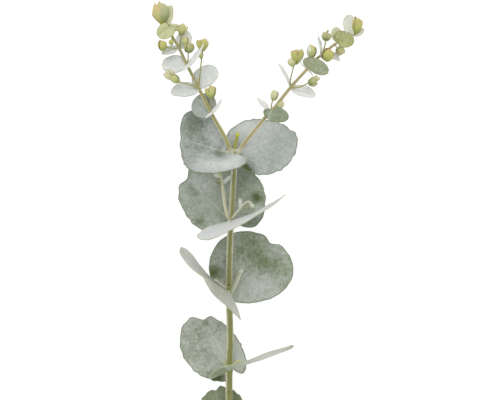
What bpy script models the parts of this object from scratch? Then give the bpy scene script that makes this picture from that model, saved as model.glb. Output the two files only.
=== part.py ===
"""Eucalyptus branch, cut and laid down on a table.

A straight main stem lies with its cut end on the table and its tip raised on
the leaves below it.  It carries pairs of round, stalkless leaves: in each
lower pair one blade lies under the stem and the other stands up from it.  At
the top the stem forks into two slender flowering shoots with small leaves and
stalked buds, and young side sprouts grow where the upper leaves meet the stem.

X runs across the branch, Y along it towards the tips, Z up from the table.
Lengths in this file are millimetres and are turned into metres once.
"""
from dataclasses import dataclass, field
from math import atan2, cos, exp, hypot, pi, radians, sin

import bmesh
import bpy
from mathutils import Matrix, Vector

MM = 0.001

STEM_CUT_Y = -156.6      # the cut end
FORK_Y = 64.2            # where the main stem ends and divides
CUT_RADIUS = 2.4
FORK_RADIUS = 1.65
NODE_SWELL = 0.45        # a leaf pair's joint stands this far proud
NODE_LENGTH = 2.6
FORK_SWELL = 0.9
NODES = {"fifth": -108.6, "fourth": -65.4, "third": -18.6, "second": 24.0}
CUT_REST = 2.15          # stem axis above the table at the cut end, where it is a little flattened
FORK_HEIGHT = 15.6       # stem axis above the table at the fork

BLADE = 0.8              # thickness of a grown leaf
SMALL_BLADE = 0.7        # thickness of a young leaf
PRESS = 0.08             # a leaf on the table gives by this much, so that it lies flat there
SPOKES, RINGS = 40, (0.42, 0.75)
SMALL_SPOKES, SMALL_RINGS = 16, (0.55,)


def clear_scene():
    for thing in list(bpy.data.objects):
        bpy.data.objects.remove(thing, do_unlink=True)


def collection(name):
    made = bpy.data.collections.new(name)
    bpy.context.scene.collection.children.link(made)
    return made


def finish_material(name, colour, roughness):
    made = bpy.data.materials.new(name)
    made.use_nodes = True
    shader = made.node_tree.nodes["Principled BSDF"]
    shader.inputs["Base Color"].default_value = (*colour, 1)
    shader.inputs["Roughness"].default_value = roughness
    shader.inputs["Metallic"].default_value = 0
    return made


def link_mesh(name, mesh, group, material=None):
    thing = bpy.data.objects.new(name, mesh)
    group.objects.link(thing)
    if material:
        mesh.materials.append(material)
    return thing


def through(points, step):
    """A smooth curve through the points, one point every step or so."""
    knots = [Vector(p) for p in points]
    ends = [2 * knots[0] - knots[1], *knots, 2 * knots[-1] - knots[-2]]
    made = []
    for before, start, stop, after in zip(ends, ends[1:], ends[2:], ends[3:]):
        pieces = max(1, round((stop - start).length / step))
        for i in range(pieces):
            t = i / pieces
            made.append(0.5 * (2 * start + (stop - before) * t
                               + (2 * before - 5 * start + 4 * stop - after) * t ** 2
                               + (3 * start - before - 3 * stop + after) * t ** 3))
    return made + [knots[-1]]


def tube(name, points, radii, group, sides_level=2, material=None):
    """A closed round tube along the points, as a mesh."""
    curve = bpy.data.curves.new(name, "CURVE")
    curve.dimensions = "3D"
    curve.bevel_depth = MM
    curve.bevel_resolution = sides_level
    curve.use_fill_caps = True
    spline = curve.splines.new("POLY")
    spline.points.add(len(points) - 1)
    for knot, place, radius in zip(spline.points, points, radii):
        knot.co = (*(Vector(place) * MM), 1)
        knot.radius = radius
    guide = bpy.data.objects.new(name + "_guide", curve)
    bpy.context.scene.collection.objects.link(guide)
    bpy.context.view_layer.update()
    mesh = bpy.data.meshes.new_from_object(guide.evaluated_get(bpy.context.evaluated_depsgraph_get()))
    bpy.data.objects.remove(guide, do_unlink=True)
    work = bmesh.new()
    work.from_mesh(mesh)
    bmesh.ops.remove_doubles(work, verts=work.verts, dist=0.00001)
    bmesh.ops.recalc_face_normals(work, faces=work.faces)
    work.to_mesh(mesh)
    work.free()
    mesh.name = name
    mesh.shade_smooth()
    return link_mesh(name, mesh, group, material)


# Main stem

STEM_LINE = [(-17.4, STEM_CUT_Y), (-17.4, -108.6), (-17.4, -84), (-17.4, -66), (-16.8, -48), (-17.2, -30),
             (-17.5, -18), (-16.8, 12), (-15.4, 36), (-14.5, 51), (-14.1, FORK_Y)]


def along(y):
    """Share of the main stem's length from the cut end to y."""
    return (y - STEM_CUT_Y) / (FORK_Y - STEM_CUT_Y)


def stem_height(y):
    return CUT_REST + (FORK_HEIGHT - CUT_REST) * along(y)


def stem_radius(y):
    plain = CUT_RADIUS + (FORK_RADIUS - CUT_RADIUS) * along(y)
    swell = sum(NODE_SWELL * exp(-((y - node) / NODE_LENGTH) ** 2) for node in NODES.values())
    return plain + swell + FORK_SWELL * exp(-((y - FORK_Y) / 3.2) ** 2)


def main_stem(group, material):
    route = through([(x, y, stem_height(y)) for x, y in STEM_LINE], 4)
    stem = tube("main_stem", route, [stem_radius(p.y) for p in route], group, 2, material)
    for corner in stem.data.vertices:
        corner.co.z = max(corner.co.z, 0)
    return stem


# Leaf blades

@dataclass
class Leaf:
    """One round, stalkless blade.

    It grows from `at` towards `heading` (degrees from +X), raised by `pitch`,
    turned in its own plane by `spin` and about its midrib by `roll`.  The rim
    is an oval about a centre `reach` along the midrib and `side` beside it,
    with half-length `half` and half-widths `left` and `right`, turned by
    `skew` and fuller at the tip by `egg`.  The midrib ends in a small notch,
    which `aim` moves round the rim.
    """
    at: tuple
    heading: float
    pitch: float = 0
    spin: float = 0
    roll: float = 0
    reach: float = 20
    side: float = 0
    half: float = 22
    left: float = 26
    right: float = 26
    skew: float = 0
    egg: float = 0
    aim: float = 0
    notch: float = 1.5
    sinus: float = 0.35
    fold_left: float = 0
    fold_right: float = 0
    fold_radius: float = 6
    crease: tuple = ()
    camber: float = 0
    cup: float = 0
    twist: float = 0
    wave: float = 0.7
    ripple: float = 0.35
    seed: int = 0
    thickness: float = field(default=BLADE)


def angle_between(a, b):
    return abs((a - b + pi) % (2 * pi) - pi)


def oval(leaf, angle):
    turned = angle - radians(leaf.skew)
    width = leaf.left if sin(turned) > 0 else leaf.right
    return (1 + leaf.egg * cos(turned)) / hypot(cos(turned) / leaf.half, sin(turned) / width)


def rim(leaf, angle):
    """Distance from the blade's centre to its edge."""
    base = atan2(-leaf.side, -leaf.reach)
    tip = atan2(-leaf.side, leaf.half) + radians(leaf.aim)
    back = angle_between(angle, base)
    clear_of_base = 1 - exp(-(back / 0.6) ** 2)
    scallops = (0.6 * sin(17 * angle + 1.3 * leaf.seed) + 0.5 * sin(26 * angle + 2.1 * leaf.seed)
                + 0.5 * sin(9 * angle + leaf.seed))
    edge = oval(leaf, angle) + leaf.ripple * clear_of_base * scallops
    edge -= leaf.notch * exp(-(angle_between(angle, tip) / 0.13) ** 2)
    return edge - (oval(leaf, base) - hypot(leaf.reach, leaf.side)) * exp(-(back / leaf.sinus) ** 2)


def bend(p, direction, angle, radius):
    """Turn the blade up on the left of a line through its base, on that radius."""
    ahead = p.x * cos(direction) + p.y * sin(direction)
    across = p.y * cos(direction) - p.x * sin(direction)
    if across <= 0 or angle == 0:
        return p
    sign = 1 if angle > 0 else -1
    curved = min(across, abs(angle) * radius)
    turned = curved / radius
    beyond = across - curved
    out = radius * sin(turned) + beyond * cos(turned) - p.z * sin(turned) * sign
    up = sign * (radius * (1 - cos(turned)) + beyond * sin(turned)) + p.z * cos(turned)
    return Vector((ahead * cos(direction) - out * sin(direction),
                   ahead * sin(direction) + out * cos(direction), up))


def blade_point(leaf, share, angle, floor):
    """A point of the blade's middle surface, in the branch's frame."""
    r = rim(leaf, angle) * share
    p = Vector((leaf.reach + r * cos(angle), leaf.side + r * sin(angle), 0))
    if leaf.crease:
        direction, turned, radius = leaf.crease
        p = bend(p, radians(direction), radians(turned), radius)
    p = bend(p, 0, radians(leaf.fold_left), leaf.fold_radius)
    p = bend(p, pi, radians(leaf.fold_right), leaf.fold_radius)
    p.z += leaf.camber * (p.x / 40) ** 2 + leaf.cup * (p.y / 25) ** 2 + leaf.twist * p.x * p.y / 1000
    p.z += leaf.wave * (share ** 2.5 * sin(3 * angle + 1.7 * leaf.seed)
                        + 0.4 * share ** 3 * sin(7 * angle + 2.3 * leaf.seed))
    turn = (Matrix.Rotation(radians(leaf.heading), 3, "Z") @ Matrix.Rotation(-radians(leaf.pitch), 3, "Y")
            @ Matrix.Rotation(radians(leaf.roll), 3, "X") @ Matrix.Rotation(radians(leaf.spin), 3, "Z"))
    p = turn @ p + Vector(leaf.at)
    return Vector((p.x, p.y, pressed(p.z, floor)))


def pressed(z, floor, soft=1.6):
    """Height after the table has pushed a low part of a blade up to lie flat on it."""
    over = z - floor
    if over > soft:
        return z
    if over < -soft:
        return floor
    return floor + (over + soft) ** 2 / (4 * soft)


def blade(name, leaf, group, material=None, spokes=SPOKES, rings=RINGS):
    """A disc in rings, shaped by the leaf's formula and given its thickness."""
    work = bmesh.new()
    bmesh.ops.create_circle(work, segments=spokes, radius=1, cap_ends=True)
    middle = list(work.faces)
    apothem = cos(pi / spokes)
    for outer, inner in zip((1, *reversed(rings)), reversed(rings)):
        bmesh.ops.inset_region(work, faces=middle, thickness=(outer - inner) * apothem,
                               use_boundary=True, use_even_offset=True)
    bmesh.ops.poke(work, faces=middle)
    bmesh.ops.triangulate(work, faces=work.faces)
    for corner in work.verts:
        share, angle = corner.co.xy.length, atan2(corner.co.y, corner.co.x)
        corner.co = blade_point(leaf, share, angle, leaf.thickness / 2 - PRESS) * MM
    bmesh.ops.recalc_face_normals(work, faces=work.faces)
    mesh = bpy.data.meshes.new(name + "_middle")
    work.to_mesh(mesh)
    work.free()
    thing = link_mesh(name, mesh, group)
    wall = thing.modifiers.new("thickness", "SOLIDIFY")
    wall.thickness = leaf.thickness * MM
    wall.offset = 0
    bpy.context.view_layer.update()
    solid = bpy.data.meshes.new_from_object(thing.evaluated_get(bpy.context.evaluated_depsgraph_get()))
    for corner in solid.vertices:
        corner.co.z = max(corner.co.z, 0)
    solid.name = name
    solid.shade_smooth()
    bpy.data.objects.remove(thing, do_unlink=True)
    return link_mesh(name, solid, group, material)


UNDER = dict(fold_left=4, fold_right=4, notch=1.8)
UPRIGHT = dict(wave=0.5, notch=1.2)
LEAVES = {
    "fork_leaf_left": Leaf(at=(-18, 64.4, 17), heading=161, pitch=-17, reach=1.7, side=7.7, half=20.5, left=19.5,
                           right=40.3, skew=50, aim=8, sinus=0.78, crease=(18.4, 58.5, 3), notch=1.2, wave=0.4,
                           seed=8),
    "fork_leaf_right": Leaf(at=(-11.2, 64.2, 13.2), heading=18, pitch=-27, reach=20, side=2.5, half=23.6,
                            left=12.5, right=21, skew=-14, egg=-0.17, aim=12, sinus=0.27, fold_left=6, fold_right=6,
                            camber=3, seed=1),
    "second_leaf_under": Leaf(at=(-17.6, 24.6, 10.0), heading=137, pitch=-19, reach=10, side=-4, half=28.5,
                              left=20.5, right=27, skew=6, egg=0.04, camber=3, fold_left=4, fold_right=-3, notch=1.8,
                              seed=2),
    "second_leaf_upright": Leaf(at=(-16.5, 23.6, 15.7), heading=-70.5, pitch=84, spin=5, reach=22, side=5.2,
                                half=23, left=28.5, right=28.5, twist=5, cup=1.8, **UPRIGHT, seed=5),
    "third_leaf_under": Leaf(at=(-15.2, -19.2, 6.4), heading=51.5, pitch=-13, reach=11.5, side=-0.7, half=22,
                             left=21, right=29, skew=42, egg=0.28, **UNDER, seed=3),
    "third_leaf_upright": Leaf(at=(-18, -19.8, 13.7), heading=-118.6, pitch=92.6, spin=-27.2, reach=22, side=6.5,
                               half=23, left=23.5, right=36, fold_left=-40.5, fold_right=5.3, camber=1.2, cup=7.3,
                               twist=2.8, **UPRIGHT, seed=6),
    "fourth_leaf_under": Leaf(at=(-17.7, -64.2, 4.75), heading=119.4, pitch=-10, reach=9.5, half=23.6, left=19,
                              right=12, skew=16, egg=0.2, fold_left=4, notch=1.8, seed=4),
    "fourth_leaf_upright": Leaf(at=(-17.3, -65.6, 10.8), heading=-66, pitch=97.5, spin=-5.7, reach=20, side=15.6,
                                half=22, left=30.4, right=26.5, fold_left=-12, fold_right=-16, camber=0.4, cup=2,
                                twist=-0.4, **UPRIGHT, seed=7),
    "fifth_leaf_under": Leaf(at=(-17.8, -107.6, 2.0), heading=106, pitch=-4.5, reach=12, half=21, left=15, right=16,
                             skew=-4, egg=-0.08, **UNDER, seed=9),
    "fifth_leaf_upright": Leaf(at=(-17.2, -108.8, 8.05), heading=-60, pitch=82, spin=8, reach=21, half=23, left=27,
                               right=26, twist=3, camber=3, **UPRIGHT, seed=10),
}


# Flowering shoots and side sprouts

BUD_SIDES, BUD_RINGS = 7, 5


def bud(name, group, at, heading, rise, length, width, flare=0.1):
    """A bud: an egg that grows from `at`, fuller towards its tip by `flare`."""
    work = bmesh.new()
    bmesh.ops.create_uvsphere(work, u_segments=BUD_SIDES, v_segments=BUD_RINGS, radius=0.5)
    for corner in work.verts:
        height = corner.co.z + 0.5
        spread = width * (1 + flare * (2 * height - 1))
        corner.co = Vector((corner.co.x * spread, corner.co.y * spread, height * length))
    aim = Vector((cos(radians(heading)) * cos(radians(rise)), sin(radians(heading)) * cos(radians(rise)),
                  sin(radians(rise))))
    place = Matrix.Translation(Vector(at)) @ aim.to_track_quat("Z", "Y").to_matrix().to_4x4()
    bmesh.ops.transform(work, matrix=place, verts=work.verts)
    bmesh.ops.scale(work, vec=(MM, MM, MM), verts=work.verts)
    mesh = bpy.data.meshes.new(name)
    work.to_mesh(mesh)
    work.free()
    return link_mesh(name, mesh, group)


def fuse(name, pieces, group, material):
    """Join overlapping pieces into one closed body."""
    first, others = pieces.objects[0], list(pieces.objects)[1:]
    grown = bpy.data.collections.new(name + "_grown")
    for piece in others:
        pieces.objects.unlink(piece)
        grown.objects.link(piece)
    bpy.context.scene.collection.children.link(grown)
    join = first.modifiers.new("grown together", "BOOLEAN")
    join.operation = "UNION"
    join.solver = "EXACT"
    join.operand_type = "COLLECTION"
    join.collection = grown
    bpy.context.view_layer.update()
    mesh = bpy.data.meshes.new_from_object(first.evaluated_get(bpy.context.evaluated_depsgraph_get()))
    for piece in [first, *others]:
        bpy.data.objects.remove(piece, do_unlink=True)
    bpy.data.collections.remove(grown)
    bpy.data.collections.remove(pieces)
    mesh.name = name
    mesh.materials.clear()
    return link_mesh(name, mesh, group, material)


def young_leaf(at, heading, length, width, pitch=0, roll=0, behind=0.0, side=0.0, seed=0):
    """A small blade, given by its whole length and width, and by how far it lies behind and beside its base."""
    return Leaf(at=at, heading=heading, pitch=pitch, roll=roll, reach=length / 2 - behind, side=side,
                half=length / 2, left=width / 2, right=width / 2, notch=0, sinus=0.5, wave=0.25, ripple=0, cup=1.5,
                fold_left=8, fold_right=8, fold_radius=3, seed=seed, thickness=SMALL_BLADE)


@dataclass
class Shoot:
    """A slender stem with its leaves and its stalked buds."""
    line: list
    radii: tuple
    leaves: list = field(default_factory=list)
    stalks: list = field(default_factory=list)
    buds: list = field(default_factory=list)


STALK = 0.42
SHOOTS = {
    "left_shoot": Shoot(
        line=[(-16.2, 64.9, 17.2), (-18.6, 72, 18.3), (-21.6, 78, 18.8), (-28.4, 88.4, 19.4), (-35.7, 103.4, 19.4),
              (-39.4, 110.8, 19), (-42.6, 117, 18.6), (-47.4, 127.2, 17.9), (-51.6, 134.4, 17.4),
              (-54, 139.2, 17), (-58.3, 149.5, 16.4)],
        radii=(1.3, 0.7),
        leaves=[young_leaf((-27.4, 87.4, 18.6), 134, 14.5, 15.8, pitch=-12, seed=1),
                young_leaf((-28.2, 88.6, 19.8), -45, 14, 16.2, pitch=80, behind=1, side=2.6, seed=2),
                young_leaf((-34.8, 102.2, 19), 185, 17.6, 14, pitch=-4, roll=50, seed=3),
                young_leaf((-35.4, 102.8, 18.8), 43, 17, 12.8, pitch=-6, roll=-30, side=1.2, seed=4),
                young_leaf((-42.6, 117.2, 18.2), 182, 15, 13, pitch=-4, roll=30, seed=5),
                young_leaf((-42.2, 117.6, 18.9), -44, 13, 20.6, pitch=75, side=5, seed=6),
                young_leaf((-47.4, 127.2, 17.6), 199, 11, 10, pitch=-2, roll=58, seed=7),
                young_leaf((-47.4, 127.2, 17), 60, 11.5, 9.4, pitch=-8, seed=8),
                young_leaf((-53.3, 139.8, 17.6), -139, 10.2, 9.6, pitch=14, behind=0.4, seed=9),
                young_leaf((-54.8, 141, 16.6), 80, 12, 7, pitch=4, roll=-45, seed=10),
                young_leaf((-53.4, 139.6, 17.4), -12, 6.4, 4.6, roll=30, seed=26)],
        stalks=[[(-28.4, 88.4, 19.4), (-28.4, 92.5, 20.4), (-27.9, 97.4, 21)],
                [(-36.2, 103.2, 19.4), (-42, 105.2, 20.4), (-47.7, 106.8, 20.8)],
                [(-35.6, 104.2, 19.4), (-34.6, 112, 21.4), (-33.2, 125.4, 22)],
                [(-42.2, 117.6, 18.6), (-41.8, 121.4, 20), (-41.9, 124.8, 20.4)],
                [(-47.8, 126.8, 18), (-50.6, 127.4, 19), (-55, 128.1, 19.4)],
                [(-46.9, 127.6, 17.8), (-46.4, 131.8, 18.8), (-45.8, 135.6, 19.2)],
                [(-51.4, 133.4, 17.4), (-51.8, 130.8, 18.6), (-51.6, 129.6, 19.4)]],
        buds=[((-27.9, 96.7, 21), 84, 8, 7.9, 4.4), ((-28.4, 97, 20.8), 112, 12, 6.6, 3),
              ((-47.3, 106.4, 20.8), 140, 6, 6.6, 4.6), ((-50.2, 108.9, 21), 144, 6, 6.8, 5.6),
              ((-33.2, 124.8, 22), 90, 4, 7.6, 6.2), ((-33.8, 120.6, 21.8), 100, 20, 3, 2.6),
              ((-42, 124, 20.4), 78, 6, 6.8, 6), ((-43.2, 127.8, 20.6), 92, 6, 6.2, 3.6),
              ((-54.6, 128.1, 19.4), 165, 6, 6.6, 5.4), ((-45.8, 134.8, 19.2), 80, 6, 7.2, 5.8),
              ((-51.6, 128.8, 19.2), 104, 24, 3.6, 3), ((-57.6, 142, 16.4), 96, 3, 13.4, 8.6, 0.4),
              ((-58.2, 142.8, 17), 108, 8, 10.4, 5.4, 0.3)]),
    "right_shoot": Shoot(
        line=[(-11.7, 64.9, 16.2), (-9.6, 69, 16.6), (-4.8, 75, 17.2), (2.4, 84.6, 17.8), (7.2, 88.8, 18),
              (10.6, 92.4, 18), (19.8, 103.8, 17.8), (31.2, 116.4, 17.2), (35.7, 121.2, 16.8), (38.4, 123, 16.6),
              (43.2, 127.2, 16.2), (46.2, 129.6, 16), (51.6, 132.6, 15.7), (57.6, 136.2, 15.4)],
        radii=(1.3, 0.7),
        leaves=[young_leaf((8, 90.4, 19), -111, 9.8, 16.4, pitch=20, behind=2.65, side=3.6, seed=11),
                young_leaf((6.8, 88.8, 17.4), 128, 11, 10, pitch=6, roll=70, seed=12),
                young_leaf((19.4, 103.6, 17.8), 117, 18.4, 13, pitch=8, roll=80, behind=3.7, seed=13),
                young_leaf((19.6, 102.6, 17.4), -14, 15.5, 12, pitch=-8, roll=-54, seed=14),
                young_leaf((30.6, 115.4, 17.9), 66.4, 9.2, 17.2, pitch=22, behind=0.9, side=-3.2, seed=15),
                young_leaf((30.2, 114.9, 16.9), -136, 8, 12, pitch=-86, seed=16),
                young_leaf((38.4, 120.4, 16.6), 98, 14, 8.4, pitch=8, roll=76, seed=17),
                young_leaf((43.2, 125.2, 16), -35, 8, 4.6, pitch=-12, seed=18),
                young_leaf((47.6, 131, 16.8), -14, 13.4, 10, pitch=12, behind=3.4, side=2.2, seed=19),
                young_leaf((47.4, 131, 15.6), 94, 8.8, 6.6, pitch=-4, seed=20),
                young_leaf((56.6, 134.8, 15.8), 97, 12, 7.4, pitch=6, roll=34, seed=27),
                young_leaf((56.8, 134.8, 15.2), 29, 7.8, 6, pitch=-2, roll=-35, seed=28)],
        stalks=[[(7.8, 89.4, 18), (8.2, 93.6, 19), (9.2, 96.6, 19.4)],
                [(19.4, 103.6, 17.8), (19.4, 108, 18.8), (21.5, 116.8, 19.4)],
                [(20.4, 103.4, 17.8), (24.8, 103.6, 18.8), (30.6, 106.2, 19.2)],
                [(31, 116.8, 17.4), (31.2, 119.2, 18.4), (31.8, 122, 18.8)],
                [(38.6, 123.4, 16.8), (40, 128.4, 18), (40.6, 131.8, 18.4)],
                [(45.6, 129.2, 16), (47.2, 127.8, 17.2), (48, 127, 17.6)],
                [(38.2, 122, 16.8), (39.6, 120.6, 17.8), (41, 120.6, 18.4)]],
        buds=[((9, 95.6, 19.3), 74, 8, 6.4, 4.4), ((10.6, 92.6, 18.2), -4, 12, 5.6, 4),
              ((12.4, 93.4, 18), 10, 30, 3.8, 3), ((21.3, 116, 19.3), 112, 8, 5.4, 4.6),
              ((22.6, 117.4, 19.5), 86, 10, 9.2, 5.6), ((23.4, 118, 19.4), 62, 12, 7, 3.2),
              ((30, 105.9, 19.1), 14, 8, 6, 5.2), ((34, 107.4, 19.3), 52, 10, 3.6, 3),
              ((31.7, 121, 18.7), 84, 6, 8, 5.4), ((40.6, 119.8, 18.2), 64, 8, 7.8, 6.2),
              ((40.5, 131.2, 18.3), 82, 6, 5.8, 5.6), ((47.8, 127.5, 17.6), -58, 8, 5.4, 5.2),
              ((57.6, 135.4, 15.4), 74, 6, 10.6, 5.8, 0.3)]),
    "terminal_bud": Shoot(
        line=[(-14.1, 64.9, 16.5), (-13.4, 70, 17.3), (-12.2, 75.4, 18.2)],
        radii=(0.8, 0.7),
        buds=[((-12.4, 74.4, 18), 80, 12, 4.2, 2.4)]),
    "second_sprout_left": Shoot(
        line=[(-18.3, 26.4, 15.6), (-19.8, 33, 16.4), (-21.3, 45, 17.4), (-22.6, 51.6, 17.8)],
        radii=(0.75, 0.5),
        leaves=[young_leaf((-21.4, 46, 17.4), 122, 6.6, 4.2, pitch=4, roll=50, seed=21),
                young_leaf((-21.3, 46, 17.5), 38, 7, 3.4, pitch=6, roll=-50, seed=22),
                young_leaf((-22.3, 50, 17.7), 150, 5, 3.6, pitch=10, seed=23)],
        buds=[((-22.4, 50.6, 17.7), 104, 10, 3.6, 2.2)]),
    "second_sprout_right": Shoot(
        line=[(-14.5, 26.2, 15.7), (-12.6, 28.6, 16.6), (-10.4, 31, 17.4), (-8.2, 33.6, 18.4), (-5.6, 35, 19),
              (-4, 33.2, 19)],
        radii=(0.8, 0.5),
        leaves=[young_leaf((-10.6, 30.8, 17.3), 92, 6.4, 3, pitch=12, roll=50, seed=24),
                young_leaf((-9.6, 32, 17.8), -14, 5, 3.2, pitch=2, roll=-50, seed=25)],
        buds=[((-4.6, 34, 19), -60, 0, 3.4, 2.2)]),
    "third_sprout_right": Shoot(
        line=[(-14.8, -16.6, 12.3), (-12.8, -12.6, 13.6), (-10.6, -7.4, 14.6)],
        radii=(1.05, 1.15),
        buds=[((-11.2, -8.8, 14.3), 68, 20, 4, 3)]),
    "third_sprout_left": Shoot(
        line=[(-19.7, -15.7, 12.5), (-21.8, -13.6, 13.6), (-24.4, -11.4, 14.2)],
        radii=(0.85, 0.8),
        buds=[((-23.9, -11.9, 14), 142, 12, 2.6, 2.4)]),
}


def shoot(name, plan, group, material):
    pieces = collection(name + "_pieces")
    route = through(plan.line, 4)
    start, end = plan.radii
    radii = [start + (end - start) * i / (len(route) - 1) for i in range(len(route))]
    tube(name + "_stem", route, radii, pieces, 1)
    for i, stalk in enumerate(plan.stalks):
        line = through(stalk, 3.5)
        tube(f"{name}_stalk_{i}", line, [STALK] * len(line), pieces, 1)
    for i, leaf in enumerate(plan.leaves):
        blade(f"{name}_leaf_{i}", leaf, pieces, None, SMALL_SPOKES, SMALL_RINGS)
    for i, shape in enumerate(plan.buds):
        bud(f"{name}_bud_{i}", pieces, *shape)
    return fuse(name, pieces, group, material)


clear_scene()
branch = collection("eucalyptus_branch")
stem_finish = finish_material("stem_olive", (0.24, 0.25, 0.11), 0.62)
leaf_finish = finish_material("leaf_glaucous", (0.36, 0.42, 0.35), 0.7)
shoot_finish = finish_material("shoot_pale_green", (0.5, 0.5, 0.33), 0.65)
main_stem(branch, stem_finish)
for leaf_name, leaf in LEAVES.items():
    blade(leaf_name, leaf, branch, leaf_finish)
for shoot_name, plan in SHOOTS.items():
    shoot(shoot_name, plan, branch, shoot_finish)
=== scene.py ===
"""A eucalyptus branch, cut and laid on a white table, seen from straight above.

X runs across the branch, Y along it towards the tips and Z up.  Pieces are
shaped in millimetres and scaled to metres as they are finished.
"""
from dataclasses import dataclass
from math import atan2, cos, exp, hypot, pi, radians, sin, sqrt

import bpy
from mathutils import Matrix, Vector


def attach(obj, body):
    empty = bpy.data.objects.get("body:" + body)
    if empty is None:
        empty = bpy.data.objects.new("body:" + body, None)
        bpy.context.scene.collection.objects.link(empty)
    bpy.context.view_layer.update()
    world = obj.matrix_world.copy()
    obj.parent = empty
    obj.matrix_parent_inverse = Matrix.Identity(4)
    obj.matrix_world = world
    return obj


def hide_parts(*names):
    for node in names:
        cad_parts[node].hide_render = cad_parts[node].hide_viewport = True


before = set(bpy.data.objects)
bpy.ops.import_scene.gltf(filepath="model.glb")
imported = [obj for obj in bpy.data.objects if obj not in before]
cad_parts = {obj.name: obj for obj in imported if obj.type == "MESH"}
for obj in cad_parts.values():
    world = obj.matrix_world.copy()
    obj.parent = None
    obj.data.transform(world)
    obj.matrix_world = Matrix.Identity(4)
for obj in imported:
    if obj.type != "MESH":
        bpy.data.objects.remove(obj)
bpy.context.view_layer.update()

MM = 0.001


# Main stem
# A young green stem, straight and round, a little swollen where each pair of
# leaves sits, olive with a bloom of pale wax painted thickest on its flanks,
# where it also stands for a painted sheen along the stem's edges.

STEM_CUT = -156.6
FORK = 64.2
NODES = {"fifth": -108.6, "fourth": -65.4, "third": -18.6, "second": 24.0}
CUT_REST, FORK_HEIGHT = 2.15, 15.6
CUT_RADIUS, FORK_RADIUS = 2.4, 1.65
NODE_SWELL, NODE_LENGTH = 0.45, 2.6
FORK_SWELL, FORK_LENGTH = 0.9, 3.2
COLLAR, COLLAR_AHEAD, COLLAR_LENGTH = 0.16, 1.1, 0.5       # the narrow ring just above each leaf pair
TOP_ROUND, TOP_LENGTH = 63.4, 2.6                          # where the stem's top starts to round off
STEM_SIDES, STEM_CUTS = 28, 330
CUT_RINGS = (0.14, 0.22, 0.26)
TABLE_GAP, LEAF_GAP = 0.02, 0.05       # air left under the stem and under the leaves
STEM_LINE = [(-17.4, STEM_CUT), (-17.4, -108.6), (-17.4, -84), (-17.4, -66), (-16.8, -48), (-17.2, -30),
             (-17.5, -18), (-16.8, 12), (-15.4, 36), (-14.5, 51), (-14.1, FORK), (-14.05, 66)]


def stem_height(y):
    return CUT_REST + (FORK_HEIGHT - CUT_REST) * (y - STEM_CUT) / (FORK - STEM_CUT)


def hump(distance, width):
    """1 in the middle, easing down to 0 well past the width."""
    return exp(-(distance / width) ** 2)


def stem_radius(y):
    plain = CUT_RADIUS + (FORK_RADIUS - CUT_RADIUS) * (y - STEM_CUT) / (FORK - STEM_CUT)
    swell = sum(NODE_SWELL * hump(y - node, NODE_LENGTH) for node in NODES.values())
    collar = sum(COLLAR * hump(y - node - COLLAR_AHEAD, COLLAR_LENGTH) for node in NODES.values())
    rounded = sqrt(max(0.02, 1 - max(0, (y - TOP_ROUND) / TOP_LENGTH) ** 2))
    return (plain + swell + collar + FORK_SWELL * hump(y - FORK, FORK_LENGTH)) * rounded


def stem_axis(y):
    """The point of the stem's axis at that distance along the table."""
    for (x0, y0), (x1, y1) in zip(STEM_LINE, STEM_LINE[1:]):
        if y0 <= y <= y1:
            return Vector((x0 + (x1 - x0) * (y - y0) / (y1 - y0), y, stem_height(y)))
    return Vector((STEM_LINE[-1][0], y, stem_height(y)))


def through(points, step):
    """A smooth curve through the points, one point every step or so."""
    knots = [Vector(p) for p in points]
    ends = [2 * knots[0] - knots[1], *knots, 2 * knots[-1] - knots[-2]]
    made = []
    for before, start, stop, after in zip(ends, ends[1:], ends[2:], ends[3:]):
        pieces = max(1, round((stop - start).length / step))
        for i in range(pieces):
            t = i / pieces
            made.append(0.5 * (2 * start + (stop - before) * t
                               + (2 * before - 5 * start + 4 * stop - after) * t ** 2
                               + (3 * start - before - 3 * stop + after) * t ** 3))
    return made + [knots[-1]]


def mode(name):
    bpy.ops.object.mode_set(mode=name)


def pick(*things):
    """Select these pieces alone, with the first one active."""
    bpy.ops.object.select_all(action="DESELECT")
    for thing in things:
        thing.select_set(True)
    bpy.context.view_layer.objects.active = things[0]


def together(name, pieces):
    """Join like pieces into one."""
    pick(*pieces)
    if len(pieces) > 1:
        bpy.ops.object.join()
    pieces[0].name = name
    return pieces[0]


def choose_none(kind):
    """Get ready to choose edges or faces of the active piece, one by one."""
    mode("EDIT")
    bpy.ops.mesh.select_mode(type=kind)
    bpy.ops.mesh.select_all(action="DESELECT")
    mode("OBJECT")


def keep(thing, name, values):
    """Store a value for each corner of the mesh, which the finish reads."""
    kind, part = ("FLOAT_VECTOR", "vector") if isinstance(values[0], tuple) else ("FLOAT", "value")
    kept = thing.data.attributes.new(name, kind, "POINT")
    for entry, value in zip(kept.data, values):
        setattr(entry, part, value)


def rod(name, sides, cuts):
    """A round rod of unit radius and length along Z, cut across into short lengths."""
    bpy.ops.mesh.primitive_cylinder_add(vertices=sides, radius=1, depth=1, end_fill_type="NGON")
    made = bpy.context.object
    made.name = name
    choose_none("EDGE")
    places = made.data.vertices
    for edge in made.data.edges:
        edge.select = abs(places[edge.vertices[0]].co.z - places[edge.vertices[1]].co.z) > 0.5
    mode("EDIT")
    bpy.ops.mesh.subdivide(number_cuts=cuts)
    mode("OBJECT")
    return made


def inset_caps(thing, widths):
    """Rings on the rod's two round ends."""
    choose_none("FACE")
    for face in thing.data.polygons:
        face.select = abs(face.normal.z) > 0.9
    mode("EDIT")
    for width in widths:
        bpy.ops.mesh.inset(thickness=width)
    bpy.ops.mesh.poke()
    mode("OBJECT")


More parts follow.
